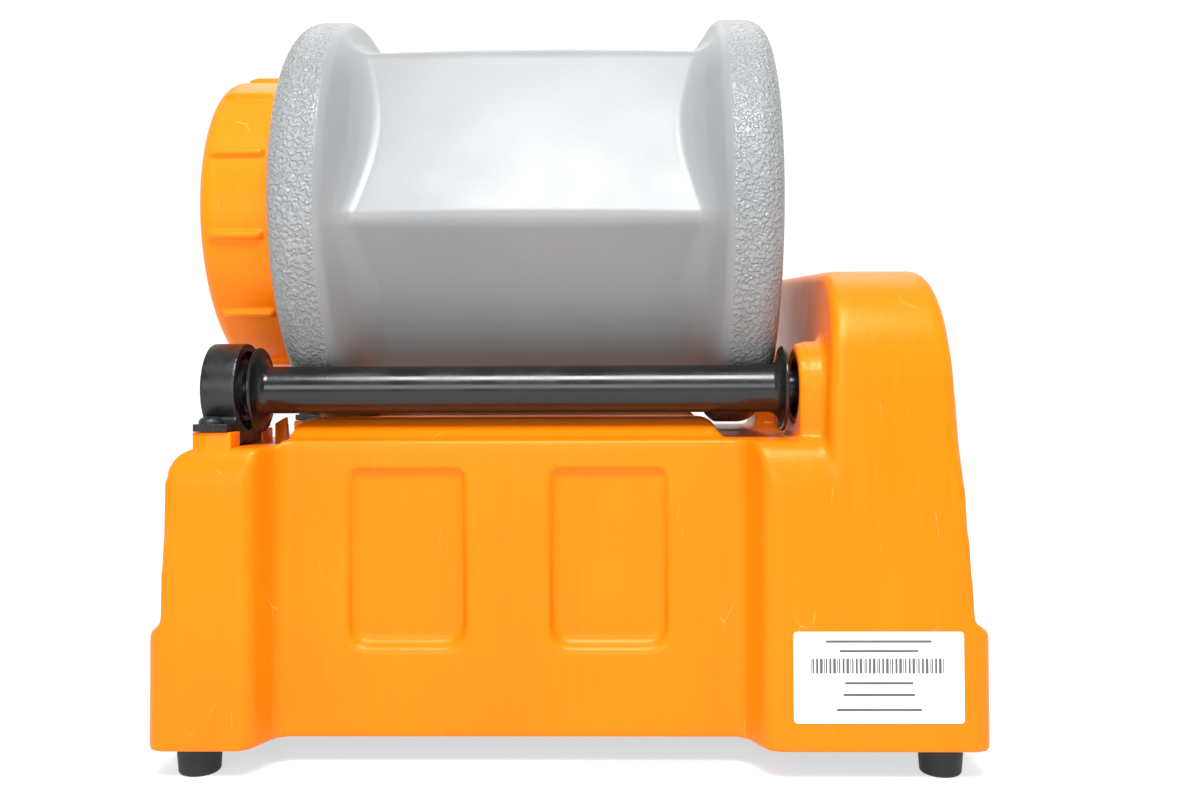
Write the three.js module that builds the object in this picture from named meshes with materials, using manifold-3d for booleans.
// Rotary rock tumbler. A six-sided drum with two round rims lies on two rollers over a moulded base;
// a motor in the base turns the front roller through a belt in the drive tower.
// Millimetres, +Z up. The origin is on the table under the middle of the base, +X runs to the drive
// tower, +Y to the side with the controls. Plans are drawn as (x, y), side profiles as (y, z).
import * as THREE from "three";
import { mergeVertices } from "three/addons/utils/BufferGeometryUtils.js";
import Module from "manifold-3d";

const wasm = await Module();
wasm.setup();

// ---- Sizes ----------------------------------------------------------------------------------

const GAP = 0.3; // between pieces that touch
const RUNNING_GAP = 0.15; // round a turning shaft

// Base housing
const BASE_LENGTH = 402;
const BASE_DEPTH = 254;
const RIM_Z = 14;
const BASE_WALL = 3;
const LEDGE_Z = 70;
const LEDGE_STEP = 7.5;
const SHOULDER_Z = 158;
const NOTCH_Z = 161;
const DECK_Z = 171;
const LEFT_COLUMN = 49;
const RIGHT_COLUMN = 106;
const COLUMN_SLANT = 9;
const PANEL_RECESS = 22;
const SIDE_DRAFT = 0.0003; // share of the depth lost for each millimetre of height
const COLUMN_ROLL = [7, 15]; // how far a top edge rolls inwards and down
const DECK_ROLL = [9, 17];
const POCKET_DEPTH = 4;
const POCKET_BOTTOM = 55;
const POCKET_TOP = 146;
const POCKETS = [
  { centre: -80, width: 60 },
  { centre: 20, width: 60 },
];

// Drive tower
const TOWER_LENGTH = 72;
const TOWER_FRONT_TOP = 246.5;
const TOWER_BROW_Z = 182; // where the front face starts to curve back
const TOWER_BACK_TOP = 257.5;
const END_DRAFT = 0.07;

// Drum
const DRUM_MIDDLE = -20.7;
const DRUM_LENGTH = 255;
const RIM_RADIUS = 114;
const RIM_WIDTH = 31;
const RIM_EDGE = 13;
const FLARE = 24;
const FLAT_DEPTH = 25.5; // from the rims in to the flat sides
const FLAT_CORNER = 12;
const FLAT_TURN = 24.5; // degrees from the front to the middle of the nearest flat side
const DRUM_WALL = 4.5;
const LINER_WALL = 3;
const NECK_DEPTH = 38.5;
const NECK_LENGTH = 34.8;
const MOUTH_DEPTH = 46;
const THREAD_LEAD = 24;
const THREAD_TURNS = 0.75;
const THREAD_STARTS = 2;
const THREAD_RIDGE = 2;

// Screw cap
const CAP_DEPTH = 31.7;
const CAP_WALL = 3.3;
const CAP_END_WALL = 4.2;
const CAP_LENGTH = 40.6;
const CAP_STANDOFF = 2;
const CAP_RIBS = 12;
const CAP_RIB_TURN = 19.7;
const RIB_LENGTH = 30;
const RIB_WIDTH = 3.6;
const RIB_HEIGHT = 2.8;
const SEAL_THICKNESS = 3;

// Rollers
const ROLLER_SPACING = 168;
const ROLLER_RADIUS = 12;
const ROLLER_Z = 185.683;
const DISC_RADIUS = 21.6;
const DISC_WIDTH = 7.6;
const HUB_RADIUS = 9;
const SHAFT_RADIUS = 4;

// Left bearings and right bearing bosses
const BRACKET_WIDTH = 16.8;
const BRACKET_RADIUS = 23.7;
const BRACKET_REACH = 33;
const BRACKET_WEB = 17.5; // half the width of the saddle's foot between its pads
const BRACKET_SCREW = 26; // from the shaft to each screw
const FOOT_PLATE = 3.7;
const PAD_Z = 165;
const BUSH_RADIUS = 9;
const BUSH_FLANGE = 13;
const COLLAR_LENGTH = 5;
const BOSS_RADIUS = 22.4;
const BOSS_BUSH_RADIUS = 17;
const SCREW_HEAD_RADIUS = 5.75;
const SCREW_HEAD_HEIGHT = 3.8;
const SCREW_RADIUS = 2.1;
const SCREW_LENGTH = 15;

// Drive
const PULLEY_WIDTH = 10;
const BELT_THICKNESS = 2.5;
const DRIVE_RATIO = 3; // motor turns for one turn of the drive roller
const ROLLER_PULLEY = 27; // radius of the belt's inner face
const MOTOR_Y = -20;
const MOTOR_Z = 80;
const MOTOR_LENGTH = 76;
const MOTOR_RADIUS = 36;
const MOTOR_SHELL = 2.5;
const FAN_RADIUS = 27;
const FAN_BLADES = 6;

// Underside
const COVER_THICKNESS = 3;
const FOOT_RADIUS = 10.75;
const FOOT_BOSS_RADIUS = 7;
const FOOT_BOSS_TOP = 46;
const FOOT_WEB = 2; // half the thickness of the web beside a foot's boss

// Controls, laid out along the sloping face at the back of the tower
const CONTROL_WIDTH = 44;
const CONTROL_LENGTH = 68;
const CONTROL_THICKNESS = 2.2;
const DISPLAY_WIDTH = 32;
const DISPLAY_LENGTH = 17;
const BUTTON_RADIUS = 5;
const BUTTON_PROUD = 1.8;
const SWITCH_WIDTH = 22;
const SWITCH_HEIGHT = 30;
const SWITCH_Z = 128;
const GLAND_Z = 36;
const GLAND_RADIUS = 8;
const LABEL_WIDTH = 80;
const LABEL_HEIGHT = 43;
const LABEL_Z = 49.5;

// ---- Values that follow from the sizes ------------------------------------------------------

const HALF_LENGTH = BASE_LENGTH / 2;
const HALF_DEPTH = BASE_DEPTH / 2;
const PANEL_Y = HALF_DEPTH - PANEL_RECESS;
const TOWER_LEFT = HALF_LENGTH - TOWER_LENGTH;
const TOWER_RIGHT = HALF_LENGTH - LEDGE_STEP;
const DECK_LEFT = 62 - HALF_LENGTH;
const DECK_RIGHT = TOWER_LEFT - 57;
const ROLLER_Y = ROLLER_SPACING / 2;
const ROLLER_DROP = Math.sqrt((RIM_RADIUS + ROLLER_RADIUS + GAP) ** 2 - ROLLER_Y ** 2);
const DRUM_Z = ROLLER_Z + ROLLER_DROP;
const FLAT_RADIUS = RIM_RADIUS - FLAT_DEPTH;
const NECK_RADIUS = RIM_RADIUS - NECK_DEPTH;
const MOUTH_RADIUS = RIM_RADIUS - MOUTH_DEPTH;
const CAP_RADIUS = RIM_RADIUS - CAP_DEPTH;
const BRACKET_LEFT = 20.7 - HALF_LENGTH;
const BOSS_LEFT = TOWER_LEFT - 15.5;
const ROLLER_LEFT = BRACKET_LEFT + 29.3;
const ROLLER_RIGHT = BOSS_LEFT - 12.3;
const SHAFT_LEFT = BRACKET_LEFT + 2.8;
const DRIVE_SHAFT_RIGHT = TOWER_LEFT + 29;
const IDLER_SHAFT_RIGHT = TOWER_LEFT;
const PULLEY_LEFT = TOWER_LEFT + 12;
const MOTOR_LEFT = TOWER_LEFT - 104;
const FOOT_X = HALF_LENGTH - 21;
const FOOT_Y = HALF_DEPTH - 15.5;
const CONTROL_X = TOWER_LEFT + 31;
const GLAND_X = HALF_LENGTH - 135;
const LABEL_X = HALF_LENGTH - 54;
const DRUM_LEFT = DRUM_MIDDLE - DRUM_LENGTH / 2;
const DRUM_RIGHT = DRUM_MIDDLE + DRUM_LENGTH / 2;
const NECK_END = DRUM_LEFT - NECK_LENGTH;
const CAP_RIGHT = DRUM_LEFT - CAP_STANDOFF;
const CAP_LEFT = CAP_RIGHT - CAP_LENGTH;
const COVER_BOTTOM = RIM_Z + 3;
const COVER_TOP = COVER_BOTTOM + COVER_THICKNESS;
const MOTOR_PULLEY = ROLLER_PULLEY / DRIVE_RATIO;
const SIDES = [
  { name: "front", sign: -1 },
  { name: "rear", sign: 1 },
];

// ---- Materials ------------------------------------------------------------------------------

function finish(color, roughness, metalness = 0) {
  return new THREE.MeshStandardMaterial({ color, roughness, metalness });
}

const ORANGE = finish(0xff8a14, 0.42);
const DRUM_GREY = finish(0xa3a7aa, 0.55);
const BLACK_PLASTIC = finish(0x1b1b1d, 0.45);
const BLACK_RUBBER = finish(0x202022, 0.75);
const STEEL = finish(0xb8bcc0, 0.3, 1);
const ZINC = finish(0x9ea3a6, 0.4, 1);
const COPPER = finish(0xb0643a, 0.4, 1);
const BOARD_GREEN = finish(0x1f6b3c, 0.5);
const WHITE_PAPER = finish(0xf4f4f2, 0.6);
const SMOKED = finish(0x15181c, 0.12);
const KEY_GREY = finish(0xd8dadc, 0.5);

// ---- Solids and meshes ----------------------------------------------------------------------

function joinedSolid(vertices, triangles) {
  return new wasm.Manifold(
    new wasm.Mesh({ numProp: 3, vertProperties: vertices, triVerts: triangles }),
  );
}

// A closed three.js geometry as a solid with its faces pointing out.
function solid(geometry) {
  geometry.deleteAttribute("normal");
  geometry.deleteAttribute("uv");
  const merged = mergeVertices(geometry);
  const index = merged.index.array;
  const kept = [];
  for (let i = 0; i < index.length; i += 3) {
    const [a, b, c] = [index[i], index[i + 1], index[i + 2]];
    if (a !== b && b !== c && c !== a) kept.push(a, b, c);
  }
  const vertices = merged.attributes.position.array;
  const made = joinedSolid(vertices, new Uint32Array(kept));
  return made.volume() < 0 ? joinedSolid(vertices, new Uint32Array(kept.reverse())) : made;
}

const root = new THREE.Group();

function addMesh(name, body, material, group = root) {
  const result = body.getMesh();
  const geometry = new THREE.BufferGeometry();
  const positions = new THREE.BufferAttribute(result.vertProperties, result.numProp);
  geometry.setAttribute("position", positions);
  geometry.setIndex(new THREE.BufferAttribute(result.triVerts, 1));
  geometry.computeVertexNormals();
  const mesh = new THREE.Mesh(geometry, material);
  mesh.name = name;
  group.add(mesh);
  return mesh;
}

const axis = (x, y, z) => new THREE.Vector3(x, y, z);
// How an outline is laid before it is pushed: (y, z) along +X, (x, z) along -Y, or (x, y) along +Z.
const ALONG_X = new THREE.Matrix4().makeBasis(axis(0, 1, 0), axis(0, 0, 1), axis(1, 0, 0));
const ALONG_Y = new THREE.Matrix4().makeBasis(axis(1, 0, 0), axis(0, 0, 1), axis(0, -1, 0));
const ALONG_Z = new THREE.Matrix4();

// A closed outline through corners [across, up, radius], each corner rounded.
function outline(corners) {
  const shape = new THREE.Shape();
  const spot = (i) => {
    const [across, up] = corners.at(i % corners.length);
    return new THREE.Vector2(across, up);
  };
  corners.forEach(([, , radius = 0], i) => {
    const corner = spot(i);
    const back = spot(i - 1).sub(corner);
    const on = spot(i + 1).sub(corner);
    const half = Math.abs(back.angleTo(on)) / 2;
    const cut = Math.min(radius / Math.tan(half), back.length() * 0.48, on.length() * 0.48);
    const start = back.setLength(Math.max(cut, 1e-6)).add(corner);
    const end = on.setLength(Math.max(cut, 1e-6)).add(corner);
    if (i === 0) shape.moveTo(start.x, start.y);
    else shape.lineTo(start.x, start.y);
    if (radius > 0) shape.quadraticCurveTo(corner.x, corner.y, end.x, end.y);
  });
  shape.closePath();
  return shape;
}

function prism(shape, from, to, along = ALONG_Z, curveSegments = 3) {
  const depth = to - from;
  const geometry = new THREE.ExtrudeGeometry(shape, { depth, bevelEnabled: false, curveSegments });
  geometry.translate(0, 0, from);
  return solid(geometry.applyMatrix4(along));
}

function block(low, high) {
  const size = high.map((value, i) => value - low[i]);
  const geometry = new THREE.BoxGeometry(...size);
  geometry.translate(...high.map((value, i) => (value + low[i]) / 2));
  return solid(geometry);
}

// A solid turned about the X axis from points [x, radius], moved to (y, z).
function turned(points, [y, z] = [0, 0], sides = 24) {
  const profile = points.map(([x, radius]) => new THREE.Vector2(radius, x));
  const geometry = new THREE.LatheGeometry(profile, sides);
  geometry.rotateZ(-Math.PI / 2);
  return solid(geometry.translate(0, y, z));
}

function rod(radius, from, to, [y, z], sides = 24) {
  return turned([[from, 0], [from, radius], [to, radius], [to, 0]], [y, z], sides);
}

function upright(radius, from, to, [x, y], sides = 16) {
  const geometry = new THREE.CylinderGeometry(radius, radius, to - from, sides);
  geometry.rotateX(Math.PI / 2);
  return solid(geometry.translate(x, y, (from + to) / 2));
}

// Points on an arc about (x, y), angles in degrees.
function arc(x, y, radius, from, to, steps) {
  return Array.from({ length: steps + 1 }, (_, i) => {
    const angle = THREE.MathUtils.degToRad(from + ((to - from) * i) / steps);
    return [x + radius * Math.cos(angle), y + radius * Math.sin(angle)];
  });
}

const joined = (bodies) => bodies.reduce((sum, body) => sum.add(body));
const cutBy = (body, tools) => tools.reduce((rest, tool) => rest.subtract(tool), body);

// ---- Base housing ---------------------------------------------------------------------------

// The plan of the base: two columns at each side of a panel that is set back, front and rear alike.
function basePlan(inset) {
  const end = HALF_LENGTH - inset;
  const side = HALF_DEPTH - inset;
  const panel = PANEL_Y - inset;
  const left = -HALF_LENGTH + LEFT_COLUMN - inset;
  const right = HALF_LENGTH - RIGHT_COLUMN + inset;
  const half = (sign) => [
    [-end, side * sign, 9],
    [left, side * sign, 8],
    [left + COLUMN_SLANT, panel * sign, 8],
    [right - COLUMN_SLANT, panel * sign, 8],
    [right, side * sign, 8],
    [end, side * sign, 9],
  ];
  return outline([...half(-1), ...half(1).reverse()]);
}

// The share of its depth that the base keeps at a height.
const leanAt = (z) => 1 - SIDE_DRAFT * (z - RIM_Z);

// A plan pushed up from z = bottom, leaning inwards front and rear as it rises.
function draftedPrism(shape, bottom, top, curveSegments = 3) {
  const depth = top - bottom;
  const geometry = new THREE.ExtrudeGeometry(shape, { depth, bevelEnabled: false, curveSegments });
  geometry.translate(0, 0, bottom);
  const places = geometry.attributes.position;
  for (let i = 0; i < places.count; i++) {
    places.setY(i, places.getY(i) * leanAt(places.getZ(i)));
  }
  return solid(geometry);
}

// The base as seen from the front, with the ledge at both ends.
function baseElevation(inset, bottom) {
  const rim = HALF_LENGTH - inset;
  const wall = rim - LEDGE_STEP;
  const ledge = LEDGE_Z - inset;
  const lean = (z) => END_DRAFT * (z - LEDGE_Z);
  return outline([
    [-rim, bottom],
    [-rim, ledge, 5],
    [-wall - 1, ledge + 4, 4],
    [-wall + 2, SHOULDER_Z - inset, 15],
    [DECK_LEFT - 4 + inset, SHOULDER_Z - inset, 4],
    [DECK_LEFT + inset, DECK_Z - inset, 5],
    [DECK_RIGHT - inset, DECK_Z - inset, 5],
    [DECK_RIGHT + 5 - inset, NOTCH_Z - inset, 4],
    [wall - lean(NOTCH_Z), NOTCH_Z - inset],
    [wall, ledge + 4, 4],
    [rim, ledge, 5],
    [rim, bottom],
  ]);
}

// The base as seen from its end: wide and low over the columns, or narrow and high over the deck.
function baseEnd(halfWidth, top, [run, drop], bottom) {
  const softest = 40;
  const half = (sign) => [
    [sign * halfWidth * leanAt(bottom), bottom],
    [sign * halfWidth * leanAt(top - drop), top - drop, softest],
    [sign * (halfWidth * leanAt(top) - run), top, softest],
  ];
  return outline([...half(-1), ...half(1).reverse()]);
}

// The sloping back of the tower, which carries the controls, as two points (y, z).
const CONTROL_TOP = { y: HALF_DEPTH - 23.5, z: TOWER_BACK_TOP - 10 };
const CONTROL_FOOT = { y: HALF_DEPTH - 4.5, z: TOWER_BACK_TOP - 86 };
const CONTROL_SLOPE = Math.atan2(CONTROL_FOOT.y - CONTROL_TOP.y, CONTROL_TOP.z - CONTROL_FOOT.z);

function towerArch(inset, bottom) {
  const foot = HALF_DEPTH - inset;
  const brow = foot * leanAt(TOWER_BROW_Z);
  const top = TOWER_FRONT_TOP - inset;
  const shape = new THREE.Shape();
  shape.moveTo(-foot, bottom);
  shape.lineTo(-brow, TOWER_BROW_Z);
  shape.bezierCurveTo(-brow, (TOWER_BROW_Z + top) / 2 + 8, -brow + 22, top - 2, -brow + 54, top);
  shape.lineTo(CONTROL_TOP.y - 15, TOWER_BACK_TOP - inset);
  shape.quadraticCurveTo(
    CONTROL_TOP.y - inset - 3,
    TOWER_BACK_TOP - inset,
    CONTROL_TOP.y - inset,
    CONTROL_TOP.z,
  );
  shape.lineTo(CONTROL_FOOT.y - inset, CONTROL_FOOT.z);
  shape.lineTo(foot, bottom);
  shape.closePath();
  return shape;
}

function tower(inset, bottom) {
  const top = TOWER_BACK_TOP + 10;
  const lean = END_DRAFT * (top - LEDGE_Z);
  const faces = outline([
    [TOWER_LEFT + inset, bottom],
    [TOWER_LEFT + inset, SHOULDER_Z],
    [TOWER_LEFT + inset + END_DRAFT * (top - SHOULDER_Z), top],
    [TOWER_RIGHT - inset - lean, top],
    [TOWER_RIGHT - inset, LEDGE_Z],
    [TOWER_RIGHT - inset, bottom],
  ]);
  const arch = prism(towerArch(inset, bottom), TOWER_LEFT - 1, TOWER_RIGHT + 1, ALONG_X, 6);
  return arch.intersect(prism(faces, -HALF_DEPTH - 1, HALF_DEPTH + 1, ALONG_Y));
}

// Room for the drum's two rims to dip into the deck.
function rimGrooves(inset) {
  const radius = RIM_RADIUS + 6 + inset;
  const margin = 7 + inset;
  const spans = [
    [DRUM_LEFT - margin, DRUM_LEFT + RIM_WIDTH + margin],
    [DRUM_RIGHT - RIM_WIDTH - margin, DRUM_RIGHT + margin],
  ];
  return spans.map(([from, to]) => rod(radius, from, to, [0, DRUM_Z], 40));
}

function pockets(inset) {
  const deepest = PANEL_Y + 2;
  return POCKETS.flatMap(({ centre, width }) =>
    SIDES.map(({ sign }) => {
      const half = width / 2 + inset;
      const depth = POCKET_DEPTH + inset;
      const shape = outline([
        [centre - half, POCKET_BOTTOM - inset, 9],
        [centre + half, POCKET_BOTTOM - inset, 9],
        [centre + half, POCKET_TOP + inset, 3],
        [centre - half, POCKET_TOP + inset, 3],
      ]);
      const floor = PANEL_Y * leanAt((POCKET_BOTTOM + POCKET_TOP) / 2) - depth;
      const [from, to] = sign < 0 ? [floor, deepest] : [-deepest, -floor];
      return prism(shape, from, to, ALONG_Y, 2);
    }),
  );
}

// The outside of the base, or with an inset the hollow inside it, which has plainer corners.
function baseBody(inset, bottom) {
  const steps = inset > 0 ? 1 : 3;
  const silhouette = baseElevation(inset, bottom);
  const whole = draftedPrism(basePlan(inset), bottom, DECK_Z + 1, steps).intersect(
    prism(silhouette, -HALF_DEPTH - 1, HALF_DEPTH + 1, ALONG_Y, steps),
  );
  const alongBase = (halfWidth, top, roll) => {
    const end = baseEnd(halfWidth - inset, top - inset, roll, bottom - 1);
    return prism(end, -HALF_LENGTH, HALF_LENGTH, ALONG_X, steps);
  };
  const columns = alongBase(HALF_DEPTH, Math.max(SHOULDER_Z, NOTCH_Z), COLUMN_ROLL);
  const deck = alongBase(PANEL_Y, DECK_Z, DECK_ROLL);
  const body = whole.intersect(columns.add(deck)).add(tower(inset, bottom));
  return cutBy(body, [...rimGrooves(inset), ...pockets(inset)]);
}

// The raised pads under a left bearing bracket, front and rear of its saddle.
function bracketPads(sign) {
  const left = BRACKET_LEFT - 0.6;
  const right = BRACKET_LEFT + BRACKET_WIDTH + 1.2;
  const seats = [
    [ROLLER_Y + BRACKET_WEB + 0.5, ROLLER_Y + BRACKET_REACH + 0.5],
    [ROLLER_Y - BRACKET_REACH - 0.5, ROLLER_Y - BRACKET_WEB - 0.5],
  ];
  return seats.map(([near, far]) => {
    const [low, high] = sign > 0 ? [near, far] : [-far, -near];
    return block([left, low, SHOULDER_Z - 14], [right, high, PAD_Z]);
  });
}

// The boss that holds a roller's right bearing, with a foot down to the deck.
function bearingBoss(sign) {
  const y = ROLLER_Y * sign;
  const inside = TOWER_LEFT + BASE_WALL + END_DRAFT * (ROLLER_Z - SHOULDER_Z);
  const round = (radius, from) => rod(radius, from, inside, [y, ROLLER_Z]);
  const under = (radius, from) =>
    block([from, y - radius, NOTCH_Z - 6], [inside, y + radius, ROLLER_Z]);
  const steps = [
    [BOSS_RADIUS, BOSS_LEFT],
    [BOSS_RADIUS + 1.4, TOWER_LEFT - COLLAR_LENGTH],
  ];
  return joined(steps.flatMap((step) => [round(...step), under(...step)]));
}

function footPlaces() {
  return SIDES.flatMap(({ name, sign }) => [
    { name: name + "_left", place: [-FOOT_X, FOOT_Y * sign] },
    { name: name + "_right", place: [FOOT_X, FOOT_Y * sign] },
  ]);
}

// A screw boss inside a bottom corner, with a web to the wall beside it.
function footBoss([x, y]) {
  const bottom = COVER_TOP + GAP;
  const wall = (HALF_DEPTH - BASE_WALL / 2) * Math.sign(y);
  const web = block(
    [x - FOOT_WEB, Math.min(y, wall), bottom],
    [x + FOOT_WEB, Math.max(y, wall), FOOT_BOSS_TOP],
  );
  return upright(FOOT_BOSS_RADIUS, bottom, FOOT_BOSS_TOP, [x, y]).add(web);
}

// A short upright tab behind each left disc.
function splashTab(sign) {
  const near = (ROLLER_Y - DISC_RADIUS - 3) * sign;
  const far = near - 4 * sign;
  const low = [ROLLER_LEFT - DISC_WIDTH, Math.min(near, far), SHOULDER_Z - 2];
  return block(low, [low[0] + 6, Math.max(near, far), DECK_Z]);
}

function controlPlace(along, outwards) {
  const length = Math.hypot(CONTROL_FOOT.y - CONTROL_TOP.y, CONTROL_TOP.z - CONTROL_FOOT.z);
  const share = along / length;
  return [
    CONTROL_X,
    CONTROL_TOP.y + (CONTROL_FOOT.y - CONTROL_TOP.y) * share + outwards * Math.cos(CONTROL_SLOPE),
    CONTROL_TOP.z - (CONTROL_TOP.z - CONTROL_FOOT.z) * share + outwards * Math.sin(CONTROL_SLOPE),
  ];
}

// The controls' own frame: x across, y up the sloping face, z out of it, origin at its middle.
const controls = new THREE.Group();
controls.position.set(...controlPlace(40, 0));
controls.rotation.order = "ZXY";
controls.rotation.set(Math.PI / 2 - CONTROL_SLOPE, 0, Math.PI, "ZXY");
root.add(controls);
controls.updateMatrix();

function controlWindow() {
  const across = CONTROL_WIDTH / 2 - 4;
  const up = CONTROL_LENGTH / 2 - 4;
  const box = new THREE.BoxGeometry(2 * across, 2 * up, 30);
  return solid(box.applyMatrix4(controls.matrix));
}

function baseHousing() {
  const past = 1; // how far a cutting solid runs past the face it opens
  const shell = baseBody(0, RIM_Z).subtract(baseBody(BASE_WALL, RIM_Z - past));
  const bosses = SIDES.flatMap(({ sign }) => [
    ...bracketPads(sign),
    bearingBoss(sign),
    splashTab(sign),
  ]);
  const corners = footPlaces().map(({ place }) => footBoss(place));
  const bores = SIDES.map(({ sign }) => {
    const seat = [ROLLER_Y * sign, ROLLER_Z];
    return rod(BOSS_BUSH_RADIUS + GAP, BOSS_LEFT - past, TOWER_LEFT + 20, seat);
  });
  const screwHoles = [
    ...footPlaces().map(({ place }) =>
      upright(SCREW_RADIUS + GAP, RIM_Z, COVER_TOP + SCREW_LENGTH + 2, place),
    ),
    ...bracketScrewPlaces().map(({ place }) =>
      upright(SCREW_RADIUS + GAP, PAD_Z - SCREW_LENGTH - 2, PAD_Z + past, place),
    ),
  ];
  const switchHole = block(
    [CONTROL_X - SWITCH_WIDTH / 2 - GAP, HALF_DEPTH - 20, SWITCH_Z - SWITCH_HEIGHT / 2 - GAP],
    [CONTROL_X + SWITCH_WIDTH / 2 + GAP, HALF_DEPTH + past, SWITCH_Z + SWITCH_HEIGHT / 2 + GAP],
  );
  const glandHole = prism(
    outline(arc(GLAND_X, GLAND_Z, GLAND_RADIUS + GAP, 0, 345, 23)),
    -HALF_DEPTH,
    -PANEL_Y + 20,
    ALONG_Y,
  );
  return cutBy(joined([shell, ...bosses, ...corners]), [
    ...bores,
    ...screwHoles,
    controlWindow(),
    switchHole,
    glandHole,
  ]);
}

addMesh("base_housing", baseHousing(), ORANGE);

// ---- Underside ------------------------------------------------------------------------------

function bottomCover() {
  const plate = draftedPrism(basePlan(BASE_WALL + 2 * GAP), COVER_BOTTOM, COVER_TOP, 1);
  const holes = footPlaces().map(({ place }) =>
    upright(SCREW_RADIUS + GAP, COVER_BOTTOM - 1, COVER_TOP + 1, place),
  );
  const slots = Array.from({ length: 6 }, (_, i) => {
    const x = MOTOR_LEFT + 6 + i * 12;
    return block([x - 2, -85, COVER_BOTTOM - 1], [x + 2, -60, COVER_TOP + 1]);
  });
  return cutBy(plate, [...holes, ...slots]);
}

function foot(place) {
  const top = COVER_BOTTOM - GAP;
  const body = solid(
    new THREE.LatheGeometry(
      [
        [0, 0],
        [FOOT_RADIUS - 1.5, 0],
        [FOOT_RADIUS, 1.5],
        [FOOT_RADIUS, top],
        [0, top],
      ].map(([radius, z]) => new THREE.Vector2(radius, z)),
      16,
    )
      .rotateX(Math.PI / 2)
      .translate(...place, 0),
  );
  const counterbore = upright(SCREW_HEAD_RADIUS + 2 * GAP, -1, 7, place);
  return cutBy(body, [counterbore, upright(SCREW_RADIUS + GAP, -1, top + 1, place)]);
}

// A screw standing at [x, y] with its head's underside at z = seat; up is 1 for a head on top.
function screw([x, y], seat, up) {
  const radius = SCREW_HEAD_RADIUS;
  const height = SCREW_HEAD_HEIGHT;
  const profile = [
    [0, -SCREW_LENGTH],
    [SCREW_RADIUS, -SCREW_LENGTH + 2],
    [SCREW_RADIUS, 0],
    [radius, 0],
    [radius, height * 0.4],
    [radius * 0.65, height],
    [0, height],
  ];
  const geometry = new THREE.LatheGeometry(
    profile.map(([across, along]) => new THREE.Vector2(across, along)),
    12,
  );
  geometry.rotateX((up * Math.PI) / 2);
  return solid(geometry.translate(x, y, seat));
}

addMesh("bottom_cover", bottomCover(), BLACK_PLASTIC);
footPlaces().forEach(({ name, place }) => {
  addMesh("foot_" + name, foot(place), BLACK_RUBBER);
  addMesh("foot_screw_" + name, screw(place, 7 - GAP, -1), ZINC);
});

// ---- Left bearings --------------------------------------------------------------------------

function bracketScrewPlaces() {
  const x = BRACKET_LEFT + 6.5;
  return SIDES.flatMap(({ name, sign }) => [
    { name: name + "_outer", place: [x, (ROLLER_Y + BRACKET_SCREW) * sign] },
    { name: name + "_inner", place: [x, (ROLLER_Y - BRACKET_SCREW) * sign] },
  ]);
}

// A pillow block: a round saddle over the shaft with a foot plate on each side.
function bearingBracket(sign) {
  const bottom = PAD_Z + GAP;
  const web = BRACKET_WEB;
  const plate = bottom + FOOT_PLATE;
  const reach = BRACKET_REACH;
  const radius = BRACKET_RADIUS;
  const crown = arc(0, ROLLER_Z, radius, -28, 208, 20).filter(([, z]) => z > plate + 2);
  const corners = [
    [-reach, bottom],
    [-web, bottom],
    [-web, SHOULDER_Z + GAP + 0.8],
    [web, SHOULDER_Z + GAP + 0.8],
    [web, bottom],
    [reach, bottom],
    [reach, plate],
    [radius - 4, plate],
    ...crown,
    [-radius + 4, plate],
    [-reach, plate],
  ];
  const shape = outline(corners.map(([y, z]) => [ROLLER_Y * sign + y * sign, z]));
  const body = prism(shape, BRACKET_LEFT, BRACKET_LEFT + BRACKET_WIDTH, ALONG_X);
  const bore = rod(BUSH_RADIUS + GAP, BRACKET_LEFT + 2.5, 0, [ROLLER_Y * sign, ROLLER_Z]);
  const recess = rod(BUSH_FLANGE + GAP, BRACKET_LEFT + BRACKET_WIDTH - 2, 0, [
    ROLLER_Y * sign,
    ROLLER_Z,
  ]);
  const holes = bracketScrewPlaces()
    .filter(({ place }) => place[1] * sign > 0)
    .map(({ place }) => upright(SCREW_RADIUS + GAP, PAD_Z - 1, plate + 1, place));
  return cutBy(body, [bore, recess, ...holes]);
}

function leftBush(sign) {
  const left = BRACKET_LEFT + 2.5 + GAP;
  const face = BRACKET_LEFT + BRACKET_WIDTH - 2 + GAP;
  const inner = SHAFT_RADIUS + RUNNING_GAP;
  const profile = [
    [left, inner],
    [left, BUSH_RADIUS],
    [face, BUSH_RADIUS],
    [face, BUSH_FLANGE],
    [face + 2, BUSH_FLANGE],
    [face + 2, inner],
    [left, inner],
  ];
  return turned(profile, [ROLLER_Y * sign, ROLLER_Z]);
}

function rightBush(sign) {
  const left = BOSS_LEFT + 1;
  const right = TOWER_LEFT + BASE_WALL + 4;
  const inner = SHAFT_RADIUS + RUNNING_GAP;
  const profile = [
    [left + 5, inner],
    [left + 5, HUB_RADIUS + 1],
    [left, BOSS_BUSH_RADIUS - 2],
    [left, BOSS_BUSH_RADIUS],
    [right, BOSS_BUSH_RADIUS],
    [right, inner],
    [left + 5, inner],
  ];
  return turned(profile, [ROLLER_Y * sign, ROLLER_Z]);
}

SIDES.forEach(({ name, sign }) => {
  addMesh(name + "_bearing_bracket", bearingBracket(sign), BLACK_PLASTIC);
  addMesh(name + "_left_bush", leftBush(sign), BLACK_PLASTIC);
  addMesh(name + "_right_bush", rightBush(sign), BLACK_PLASTIC);
});
bracketScrewPlaces().forEach(({ name, place }) => {
  addMesh("bracket_screw_" + name, screw(place, PAD_Z + FOOT_PLATE + 2 * GAP, 1), BLACK_PLASTIC);
});

// ---- Rollers --------------------------------------------------------------------------------

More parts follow.
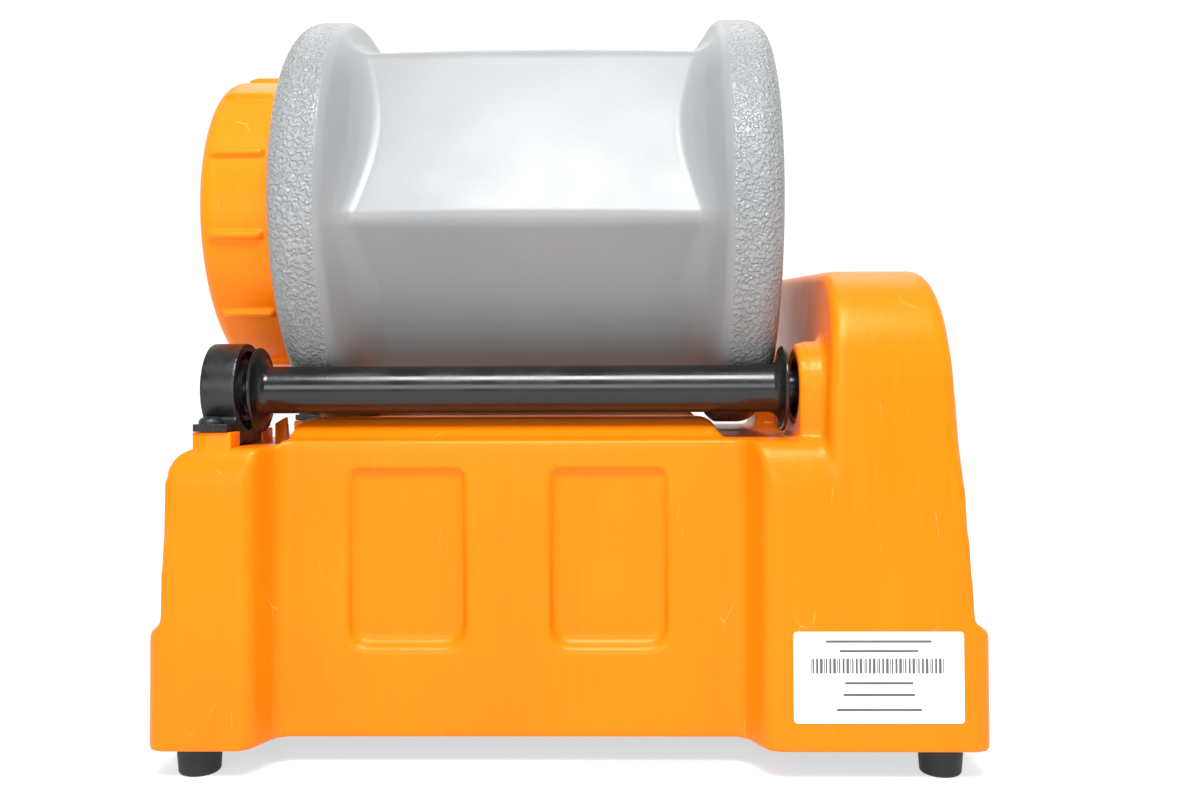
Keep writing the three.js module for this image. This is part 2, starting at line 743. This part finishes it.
// A rubber-covered tube with a dished guide disc at each end and a bore for its shaft.
function rollerSleeve(place) {
  const inner = SHAFT_RADIUS + GAP;
  const dish = [
    [0, 0],
    [3, 1.4],
    [5.6, 5],
    [6.6, DISC_RADIUS - ROLLER_RADIUS - 0.6],
  ];
  const hub = BRACKET_LEFT + BRACKET_WIDTH + 2 * GAP + 1;
  const bossHub = BOSS_LEFT + 3;
  const leftEdge = ROLLER_LEFT - DISC_WIDTH;
  const rightEdge = ROLLER_RIGHT + DISC_WIDTH;
  const profile = [
    [hub, inner],
    [hub, HUB_RADIUS],
    [leftEdge - 1, HUB_RADIUS],
    [leftEdge - 1, HUB_RADIUS + 4],
    [leftEdge, DISC_RADIUS - 0.6],
    [leftEdge + 0.5, DISC_RADIUS],
    ...dish.toReversed().map(([along, up]) => [ROLLER_LEFT - along, ROLLER_RADIUS + up]),
    ...dish.map(([along, up]) => [ROLLER_RIGHT + along, ROLLER_RADIUS + up]),
    [rightEdge - 0.5, DISC_RADIUS],
    [rightEdge, DISC_RADIUS - 0.6],
    [rightEdge, HUB_RADIUS],
    [bossHub, HUB_RADIUS],
    [bossHub, inner],
    [hub, inner],
  ];
  return turned(profile, place, 24);
}

function rollerPulley(place) {
  return turned(pulleyProfile(ROLLER_PULLEY), place);
}

// A flat belt pulley whose rims stand proud of the belt's outer face.
function pulleyProfile(beltRadius) {
  const right = PULLEY_LEFT + PULLEY_WIDTH;
  const rim = beltRadius + BELT_THICKNESS + 0.8;
  const bore = SHAFT_RADIUS + GAP;
  return [
    [PULLEY_LEFT, bore],
    [PULLEY_LEFT, rim],
    [PULLEY_LEFT + 1.2, rim],
    [PULLEY_LEFT + 2, beltRadius - GAP],
    [right - 2, beltRadius - GAP],
    [right - 1.2, rim],
    [right, rim],
    [right, bore],
    [PULLEY_LEFT, bore],
  ];
}

const DRIVE_ROLLER = [-ROLLER_Y, ROLLER_Z];
const IDLER_ROLLER = [ROLLER_Y, ROLLER_Z];
addMesh("drive_roller_sleeve", rollerSleeve(DRIVE_ROLLER), BLACK_RUBBER);
addMesh("drive_roller_shaft", rod(SHAFT_RADIUS, SHAFT_LEFT, DRIVE_SHAFT_RIGHT, DRIVE_ROLLER), STEEL);
addMesh("idler_roller_sleeve", rollerSleeve(IDLER_ROLLER), BLACK_RUBBER);
addMesh("idler_roller_shaft", rod(SHAFT_RADIUS, SHAFT_LEFT, IDLER_SHAFT_RIGHT, IDLER_ROLLER), STEEL);
addMesh("roller_pulley", rollerPulley(DRIVE_ROLLER), BLACK_PLASTIC);

// ---- Drive ----------------------------------------------------------------------------------

const MOTOR_AXIS = [MOTOR_Y, MOTOR_Z];
const MOTOR_RIGHT = MOTOR_LEFT + MOTOR_LENGTH;

// The loop round two pulleys, a given distance outside the belt's inner face.
function beltLoop(outside) {
  const from = new THREE.Vector2(...DRIVE_ROLLER);
  const to = new THREE.Vector2(...MOTOR_AXIS);
  const line = to.clone().sub(from);
  const heading = line.angle();
  const wrap = Math.acos((ROLLER_PULLEY - MOTOR_PULLEY) / line.length());
  const shape = new THREE.Shape();
  const large = ROLLER_PULLEY + outside;
  const small = MOTOR_PULLEY + outside;
  shape.absarc(from.x, from.y, large, heading + wrap, heading - wrap + 2 * Math.PI, false);
  shape.absarc(to.x, to.y, small, heading - wrap, heading + wrap, false);
  shape.closePath();
  return shape;
}

function driveBelt() {
  const from = PULLEY_LEFT + 2 + GAP;
  const to = PULLEY_LEFT + PULLEY_WIDTH - 2 - GAP;
  const outer = prism(beltLoop(BELT_THICKNESS), from, to, ALONG_X, 9);
  return outer.subtract(prism(beltLoop(0), from - 1, to + 1, ALONG_X, 9));
}

function motorCase() {
  const radius = MOTOR_RADIUS;
  const bore = SHAFT_RADIUS + RUNNING_GAP;
  const right = MOTOR_RIGHT;
  const profile = [
    [MOTOR_LEFT, bore],
    [MOTOR_LEFT, radius - 3],
    [MOTOR_LEFT + 3, radius],
    [right - 3, radius],
    [right, radius - 3],
    [right, bore],
    [right - MOTOR_SHELL, bore],
    [right - MOTOR_SHELL, radius - MOTOR_SHELL],
    [MOTOR_LEFT + MOTOR_SHELL, radius - MOTOR_SHELL],
    [MOTOR_LEFT + MOTOR_SHELL, bore],
    [MOTOR_LEFT, bore],
  ];
  const vents = Array.from({ length: 3 }, (_, i) => {
    const x = MOTOR_LEFT + 18 + i * 20;
    return block([x - 2, MOTOR_Y + 8, MOTOR_Z - 60], [x + 2, MOTOR_Y + 60, MOTOR_Z + 10]);
  });
  return cutBy(turned(profile, MOTOR_AXIS), vents);
}

function motorStator() {
  const from = MOTOR_LEFT + 18;
  const to = MOTOR_RIGHT - 18;
  const outer = MOTOR_RADIUS - MOTOR_SHELL - GAP;
  const inner = 21;
  return turned([[from, inner], [from, outer], [to, outer], [to, inner], [from, inner]], MOTOR_AXIS);
}

function motorWinding() {
  const from = MOTOR_RIGHT - 18 + GAP;
  const to = from + 9;
  return turned([[from, 22], [from, 30], [to, 30], [to, 22], [from, 22]], MOTOR_AXIS);
}

function motorRotor() {
  const core = rod(20.3, MOTOR_LEFT + 19, MOTOR_RIGHT - 19, MOTOR_AXIS);
  const shaft = rod(SHAFT_RADIUS, MOTOR_LEFT - 12, PULLEY_LEFT + PULLEY_WIDTH + 2, MOTOR_AXIS);
  return core.add(shaft);
}

function coolingFan() {
  const right = MOTOR_LEFT - 3;
  const left = right - 8;
  const hub = rod(9, left, right, MOTOR_AXIS, 24);
  const blades = Array.from({ length: FAN_BLADES }, (_, i) => {
    const blade = new THREE.BoxGeometry(1.6, FAN_RADIUS - 6, 9);
    blade.rotateY(THREE.MathUtils.degToRad(35));
    blade.translate(0, (FAN_RADIUS + 6) / 2, 0);
    blade.rotateX((i * 2 * Math.PI) / FAN_BLADES);
    return solid(blade.translate((left + right) / 2, MOTOR_Y, MOTOR_Z));
  });
  const bore = rod(SHAFT_RADIUS + GAP, left - 1, right + 1, MOTOR_AXIS, 24);
  return joined([hub, ...blades]).subtract(bore);
}

const STRAP_X = MOTOR_LEFT + MOTOR_LENGTH / 2;
const CRADLE_BASE = COVER_TOP + GAP;
const EAR_Z = MOTOR_Z - 6;
const STRAP_FOOT = 15;

// A bent plate under the motor with two curved cheeks, and ears for the strap's screws.
function motorCradle() {
  const wide = MOTOR_RADIUS + STRAP_FOOT;
  const cheek = outline([
    [MOTOR_Y - wide, CRADLE_BASE],
    [MOTOR_Y + wide, CRADLE_BASE],
    [MOTOR_Y + wide, EAR_Z, 3],
    [MOTOR_Y - wide, EAR_Z, 3],
  ]);
  const cheeks = [-22, 16].map((x) => prism(cheek, STRAP_X + x, STRAP_X + x + 6, ALONG_X));
  const seat = rod(MOTOR_RADIUS + GAP, MOTOR_LEFT - 1, MOTOR_RIGHT + 1, MOTOR_AXIS, 48);
  const plate = block(
    [STRAP_X - 30, MOTOR_Y - wide, CRADLE_BASE],
    [STRAP_X + 30, MOTOR_Y + wide, CRADLE_BASE + 3],
  );
  const ears = [-1, 1].map((sign) => {
    const y = MOTOR_Y + sign * (wide - 7);
    return block([STRAP_X - 20, y - 7, EAR_Z - 10], [STRAP_X + 20, y + 7, EAR_Z]);
  });
  const holes = strapScrewPlaces().map(({ place }) =>
    upright(SCREW_RADIUS + GAP, EAR_Z - SCREW_LENGTH - 2, EAR_Z + 1, place),
  );
  return cutBy(joined([plate, ...cheeks, ...ears]), [seat, ...holes]);
}

function strapScrewPlaces() {
  return SIDES.map(({ name, sign }) => {
    const y = MOTOR_Y + sign * (MOTOR_RADIUS + 9);
    return { name, place: [STRAP_X, y] };
  });
}

function motorStrap() {
  const inner = MOTOR_RADIUS + GAP;
  const outer = inner + 1.6;
  const bottom = EAR_Z + GAP;
  const left = STRAP_X - 8;
  const right = STRAP_X + 8;
  const band = rod(outer, left, right, MOTOR_AXIS, 48);
  const wide = MOTOR_RADIUS + STRAP_FOOT;
  const feet = block([left, MOTOR_Y - wide, bottom], [right, MOTOR_Y + wide, bottom + 2]);
  const below = block(
    [left - 1, MOTOR_Y - 60, bottom - 60],
    [right + 1, MOTOR_Y + 60, bottom],
  );
  const holes = strapScrewPlaces().map(({ place }) =>
    upright(SCREW_RADIUS + GAP, bottom - 1, bottom + 3, place),
  );
  const seat = rod(inner, left - 1, right + 1, MOTOR_AXIS, 48);
  return cutBy(band.add(feet), [below, seat, ...holes]);
}

addMesh("drive_belt", driveBelt(), BLACK_RUBBER);
addMesh("motor_pulley", turned(pulleyProfile(MOTOR_PULLEY), MOTOR_AXIS, 18), STEEL);
addMesh("motor_case", motorCase(), ZINC);
addMesh("motor_stator", motorStator(), STEEL);
addMesh("motor_winding", motorWinding(), COPPER);
addMesh("motor_rotor", motorRotor(), STEEL);
addMesh("cooling_fan", coolingFan(), BLACK_PLASTIC);
addMesh("motor_cradle", motorCradle(), ZINC);
addMesh("motor_strap", motorStrap(), ZINC);
strapScrewPlaces().forEach(({ name, place }) => {
  addMesh("strap_screw_" + name, screw(place, EAR_Z + 2 + 2 * GAP, 1), ZINC);
});

// ---- Drum -----------------------------------------------------------------------------------

// A hexagon in the (y, z) plane with rounded corners.
function hexagon(flat, corner) {
  const sharp = flat / Math.cos(Math.PI / 6);
  const corners = Array.from({ length: 6 }, (_, i) => {
    const angle = THREE.MathUtils.degToRad(180 - FLAT_TURN + 30 + 60 * i);
    return [sharp * Math.cos(angle), DRUM_Z + sharp * Math.sin(angle), corner];
  });
  return outline(corners);
}

function hexPrism(flat, corner, from, to) {
  return prism(hexagon(flat, corner), from, to, ALONG_X);
}

// One rim, as [distance from the drum's end, radius] from its flat end to the flare's foot.
function rimProfile() {
  const edge = arc(RIM_EDGE, RIM_RADIUS - RIM_EDGE, RIM_EDGE, 180, 90, 3);
  const foot = RIM_WIDTH + FLARE;
  const shoulder = [RIM_WIDTH - 1, RIM_RADIUS - 4.5];
  const flare = arc(foot, shoulder[1], FLARE, 180, 270, 4);
  return [
    [0, MOUTH_RADIUS],
    ...edge,
    [RIM_WIDTH - 6, RIM_RADIUS],
    [RIM_WIDTH - 2.5, RIM_RADIUS - 1.2],
    shoulder,
    ...flare,
    [foot, MOUTH_RADIUS],
    [0, MOUTH_RADIUS],
  ];
}

class ThreadHelix extends THREE.Curve {
  constructor(start) {
    super();
    this.start = start;
  }

  getPoint(t) {
    const angle = this.start + t * THREAD_TURNS * 2 * Math.PI;
    const x = NECK_END + 5 + t * THREAD_TURNS * THREAD_LEAD;
    const y = NECK_RADIUS * Math.cos(angle);
    return new THREE.Vector3(x, y, DRUM_Z + NECK_RADIUS * Math.sin(angle));
  }
}

function threadRidges() {
  return Array.from({ length: THREAD_STARTS }, (_, i) => {
    const bead = new THREE.Shape().absarc(0, 0, THREAD_RIDGE, 0, 2 * Math.PI, false);
    const extrudePath = new ThreadHelix((i * 2 * Math.PI) / THREAD_STARTS);
    return solid(
      new THREE.ExtrudeGeometry(bead, { steps: 14, curveSegments: 3, extrudePath }),
    );
  });
}

function drumShell() {
  const rims = rimProfile();
  const left = rims.map(([along, radius]) => [DRUM_LEFT + along, radius]);
  const right = rims.map(([along, radius]) => [DRUM_RIGHT - along, radius]);
  const body = hexPrism(FLAT_RADIUS, FLAT_CORNER, DRUM_LEFT + 1, DRUM_RIGHT - 1);
  const ends = [
    turned(left, [0, DRUM_Z], 40),
    turned(right, [0, DRUM_Z], 40),
    rod(RIM_RADIUS - RIM_EDGE, DRUM_RIGHT - 8, DRUM_RIGHT, [0, DRUM_Z], 40),
    rod(NECK_RADIUS, NECK_END, DRUM_LEFT + 8, [0, DRUM_Z], 40),
  ];
  const hollow = hexPrism(
    FLAT_RADIUS - DRUM_WALL,
    FLAT_CORNER - DRUM_WALL,
    DRUM_LEFT + DRUM_WALL,
    DRUM_RIGHT - DRUM_WALL,
  );
  const mouth = rod(MOUTH_RADIUS + 3, NECK_END - 1, DRUM_LEFT + 20, [0, DRUM_Z], 40);
  return cutBy(joined([body, ...ends, ...threadRidges()]), [hollow, mouth]);
}

function drumLiner() {
  const flat = FLAT_RADIUS - DRUM_WALL - GAP;
  const corner = FLAT_CORNER - DRUM_WALL;
  const left = DRUM_LEFT + DRUM_WALL + GAP;
  const right = DRUM_RIGHT - DRUM_WALL - GAP;
  const outside = hexPrism(flat, corner, left, right);
  const inside = hexPrism(flat - LINER_WALL, corner, left + LINER_WALL, right - LINER_WALL);
  const mouth = rod(MOUTH_RADIUS, left - 1, left + 20, [0, DRUM_Z], 32);
  return cutBy(outside, [inside, mouth]);
}

function capRib(index) {
  const from = CAP_LEFT + 4;
  const angle = THREE.MathUtils.degToRad(CAP_RIB_TURN + (index * 360) / CAP_RIBS);
  const inner = CAP_RADIUS - 1;
  const outer = CAP_RADIUS + RIB_HEIGHT;
  const half = RIB_WIDTH / 2;
  const shape = outline([
    [-outer, -half * 0.8, 1],
    [-outer, half * 0.8, 1],
    [-inner, half],
    [-inner, -half],
  ]);
  const geometry = new THREE.ExtrudeGeometry(shape, {
    depth: RIB_LENGTH,
    bevelEnabled: false,
    curveSegments: 2,
  });
  geometry.translate(0, 0, from);
  geometry.applyMatrix4(ALONG_X);
  geometry.rotateX(-angle);
  return solid(geometry.translate(0, 0, DRUM_Z));
}

function screwCap() {
  const inner = CAP_RADIUS - CAP_WALL;
  const floor = CAP_LEFT + CAP_END_WALL;
  const profile = [
    [CAP_LEFT + 1.6, 0],
    [CAP_LEFT + 1.6, CAP_RADIUS - 18],
    [CAP_LEFT, CAP_RADIUS - 14],
    ...arc(CAP_LEFT + 3.6, CAP_RADIUS - 3.6, 3.6, 180, 90, 2),
    [CAP_RIGHT - 4.2, CAP_RADIUS],
    [CAP_RIGHT - 3.4, CAP_RADIUS + 1.2],
    [CAP_RIGHT, CAP_RADIUS + 1.2],
    [CAP_RIGHT, inner],
    [floor, inner],
    [floor, 0],
  ];
  const ribs = Array.from({ length: CAP_RIBS }, (_, i) => capRib(i));
  return joined([turned(profile, [0, DRUM_Z], 40), ...ribs]);
}

function capSeal() {
  const left = CAP_LEFT + CAP_END_WALL + GAP;
  const right = left + SEAL_THICKNESS;
  const inner = MOUTH_RADIUS - 2;
  const outer = NECK_RADIUS + 1.5;
  return turned(
    [[left, inner], [left, outer], [right, outer], [right, inner], [left, inner]],
    [0, DRUM_Z],
    32,
  );
}

addMesh("drum_shell", drumShell(), DRUM_GREY);
addMesh("drum_liner", drumLiner(), BLACK_RUBBER);
addMesh("screw_cap", screwCap(), ORANGE);
addMesh("cap_seal", capSeal(), BLACK_RUBBER);

// ---- Controls -------------------------------------------------------------------------------

// A plate in the controls' own frame: centre [x, y], size [width, height], from z = low to high.
function plate([x, y], [width, height], low, high, radius = 2) {
  const shape = outline([
    [x - width / 2, y - height / 2, radius],
    [x + width / 2, y - height / 2, radius],
    [x + width / 2, y + height / 2, radius],
    [x - width / 2, y + height / 2, radius],
  ]);
  return prism(shape, low, high, ALONG_Z, 2);
}

const DISPLAY_PLACE = [0, 17];
const BUTTONS = [
  { name: "start_button", place: [0, -19] },
  { name: "time_up_button", place: [9, -3] },
  { name: "time_down_button", place: [-9, -3] },
];

const BOARD_FACE = -7.4;

// The panel covers the opening in the tower, with posts behind it for the circuit board.
function controlPanel() {
  const body = plate([0, 0], [CONTROL_WIDTH, CONTROL_LENGTH], GAP, GAP + CONTROL_THICKNESS, 5);
  const posts = [-1, 1].flatMap((across) =>
    [-1, 1].map((up) => upright(2, BOARD_FACE + GAP, GAP + 1, [14 * across, 26 * up], 12)),
  );
  const openings = [
    plate(DISPLAY_PLACE, [DISPLAY_WIDTH, DISPLAY_LENGTH], -1, 10, 2),
    ...BUTTONS.map(({ place }) => upright(BUTTON_RADIUS + GAP, -1, 10, place)),
  ];
  return cutBy(joined([body, ...posts]), openings);
}

// A key with a collar that stays behind the panel.
function button(place) {
  const top = GAP + CONTROL_THICKNESS + BUTTON_PROUD;
  const collar = upright(BUTTON_RADIUS + 1.5, -1.6, -GAP / 2, place);
  return upright(BUTTON_RADIUS, -1.6, top, place).add(collar);
}

function controlBoard() {
  const size = [CONTROL_WIDTH - 10, CONTROL_LENGTH - 10];
  const board = plate([0, 0], size, BOARD_FACE - 1.6, BOARD_FACE, 1);
  const keys = BUTTONS.map(({ place }) =>
    plate(place, [6, 6], BOARD_FACE - 0.1, -3.6 - GAP, 0.5),
  );
  const chip = plate(DISPLAY_PLACE, [22, 12], BOARD_FACE - 0.1, -3, 0.5);
  return joined([board, ...keys, chip]);
}

addMesh("control_panel", controlPanel(), BLACK_PLASTIC, controls);
addMesh(
  "display_window",
  plate(
    DISPLAY_PLACE,
    [DISPLAY_WIDTH - 2 * GAP, DISPLAY_LENGTH - 2 * GAP],
    GAP,
    GAP + CONTROL_THICKNESS - 0.4,
    2,
  ),
  SMOKED,
  controls,
);
BUTTONS.forEach(({ name, place }) => addMesh(name, button(place), KEY_GREY, controls));
addMesh("control_board", controlBoard(), BOARD_GREEN, controls);

// The power switch sits upright in the back of the tower.
function backAt(z) {
  const share = (CONTROL_FOOT.z - z) / (CONTROL_FOOT.z - RIM_Z);
  return THREE.MathUtils.lerp(CONTROL_FOOT.y, HALF_DEPTH, share);
}

function switchHousing() {
  const [width, height] = [SWITCH_WIDTH, SWITCH_HEIGHT];
  const face = backAt(SWITCH_Z - SWITCH_HEIGHT / 2) + GAP;
  const body = block(
    [CONTROL_X - width / 2, face - 16, SWITCH_Z - height / 2],
    [CONTROL_X + width / 2, face, SWITCH_Z + height / 2],
  );
  const lip = block(
    [CONTROL_X - width / 2 - 2, face, SWITCH_Z - height / 2 - 2],
    [CONTROL_X + width / 2 + 2, face + 1.5, SWITCH_Z + height / 2 + 2],
  );
  const well = block(
    [CONTROL_X - width / 2 + 2, face - 9, SWITCH_Z - height / 2 + 2],
    [CONTROL_X + width / 2 - 2, face + 3, SWITCH_Z + height / 2 - 2],
  );
  return body.add(lip).subtract(well);
}

// A rocker at rest in the off position: its pivot runs along X in the middle of the well.
const ROCKER_PIVOT = [backAt(SWITCH_Z - SWITCH_HEIGHT / 2) + GAP - 3, SWITCH_Z];
const ROCKER_TILT = 8;

function switchRocker() {
  const half = SWITCH_HEIGHT / 2 - 3.4;
  const shape = outline([
    [-2.4, -half],
    [2.6, -half, 1],
    [1.4, 0],
    [2.6, half, 1],
    [-2.4, half],
    [-4, 0],
  ]);
  const reach = SWITCH_WIDTH / 2 - 2 - GAP;
  const geometry = new THREE.ExtrudeGeometry(shape, {
    depth: 2 * reach,
    bevelEnabled: false,
    curveSegments: 2,
  });
  geometry.translate(0, 0, -reach);
  geometry.applyMatrix4(ALONG_X);
  geometry.rotateX(THREE.MathUtils.degToRad(ROCKER_TILT));
  return solid(geometry.translate(CONTROL_X, ...ROCKER_PIVOT));
}

addMesh("switch_housing", switchHousing(), BLACK_PLASTIC);
addMesh("switch_rocker", switchRocker(), BLACK_PLASTIC);

// The cord's bushing in the rear panel: a flanged sleeve along Y, with no cord in it.
function cordGland() {
  const face = PANEL_Y * leanAt(GLAND_Z);
  const profile = [
    [3.6, -7],
    [GLAND_RADIUS, -7],
    [GLAND_RADIUS, 0.6],
    [GLAND_RADIUS + 3, 0.6],
    [GLAND_RADIUS + 3, 2.4],
    [GLAND_RADIUS - 2, 9],
    [3.6, 9],
    [3.6, -7],
  ].map(([radius, along]) => new THREE.Vector2(radius, along));
  return solid(new THREE.LatheGeometry(profile, 16).translate(GLAND_X, face, GLAND_Z));
}

addMesh("cord_gland", cordGland(), BLACK_PLASTIC);

// A blank label on the front of the right column, leaning with its wall.
const label = new THREE.Group();
label.position.set(LABEL_X, -HALF_DEPTH * leanAt(LABEL_Z), LABEL_Z);
label.rotation.x = Math.PI / 2 - Math.atan(HALF_DEPTH * SIDE_DRAFT);
root.add(label);
addMesh("label", plate([0, 0], [LABEL_WIDTH, LABEL_HEIGHT], GAP, 2 * GAP, 3), WHITE_PAPER, label);

export default root;
